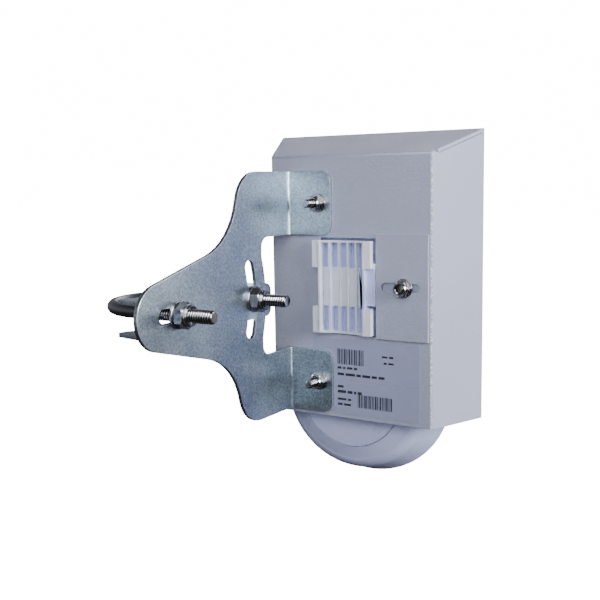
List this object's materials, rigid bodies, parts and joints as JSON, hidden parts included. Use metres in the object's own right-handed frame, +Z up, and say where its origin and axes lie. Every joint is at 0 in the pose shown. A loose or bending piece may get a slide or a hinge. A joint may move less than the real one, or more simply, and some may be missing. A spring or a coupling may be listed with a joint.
{
  "type": "outdoor wireless bridge",
  "caption": "Pole-mounted outdoor wireless bridge: a capsule-shaped radio locked in a flared sheet-metal shield, on a folded tilt bracket with U-bolt clamp.",
  "frame": {"origin": "on the pole's axis, at the height of the U-bolt", "axes": "+Z up along the pole, -Y the way the shield's open front faces, -X from the pole to the bracket plate"},
  "size_m": [0.1409, 0.145, 0.1706],
  "materials": {
    "zinc_sheet": "mottled zinc plating, satin",
    "bright_zinc": "bright zinc plating on threaded parts",
    "coated_sheet": "fine textured powder coat, light grey",
    "radio_white": "smooth moulded plastic, semi gloss",
    "mount_white": "smooth moulded plastic, semi gloss",
    "label_silver": "bare silver film label",
    "board_green": "solder mask",
    "chip_black": "moulded package",
    "jack_black": "moulded connector",
    "tin_sheet": "tinned sheet",
    "copper_gold": "gold-flashed copper",
    "nylon": "natural nylon",
    "button_red": "moulded button",
    "clear_pipe": "clear moulded light pipe",
    "led_body": "light-emitting diode"
  },
  "bodies": {
    "clamp": {"u_bolt": "bright_zinc", "u_bolt_washers": "bright_zinc", "u_bolt_nuts": "bright_zinc", "clamp_saddle": "zinc_sheet"},
    "head": {"bracket": "zinc_sheet", "flange_studs": "bright_zinc", "flange_washers": "bright_zinc", "flange_nuts": "bright_zinc", "shield_shell": "coated_sheet", "lock_stud": "bright_zinc", "lock_washer": "bright_zinc", "lock_nut": "bright_zinc", "upper_label": "label_silver", "lower_label": "label_silver", "rear_mount": "mount_white", "radio_rear_shell": "radio_white", "radio_front_shell": "radio_white", "main_board": "board_green", "board_screws": "bright_zinc", "board_chips": "chip_black", "shield_can": "tin_sheet", "ethernet_jack": "jack_black", "reset_switch": "chip_black", "status_leds": "led_body", "light_pipe": "clear_pipe", "reflector_posts": "nylon", "reflector": "tin_sheet", "antenna_posts": "nylon", "antenna_board": "board_green", "antenna_patches": "copper_gold", "feed_pins": "copper_gold"},
    "lock": {"lock_plate": "coated_sheet"},
    "cover": {"port_cover": "radio_white"},
    "button": {"reset_button": "button_red"}
  },
  "joints": [
    {"name": "head_tilt", "type": "hinge", "parent": "clamp", "child": "head", "pos_m": [-0.02863, 0.02725, 0], "axis": [1, 0, 0], "range_deg": [-15.5, 15.5]},
    {"name": "lock_slide", "type": "slide", "parent": "head", "child": "lock", "axis": [-1, 0, 0], "range_m": [0, 0.0092]},
    {"name": "cover_slide", "type": "slide", "parent": "head", "child": "cover", "axis": [0, 0, -1], "range_m": [0, 0.036]},
    {"name": "reset_press", "type": "slide", "parent": "head", "child": "button", "axis": [0, 0, 1], "range_m": [0, 0.0005], "stiffness_N_per_m": 2000, "springref_m": -0.0003}
  ]
}
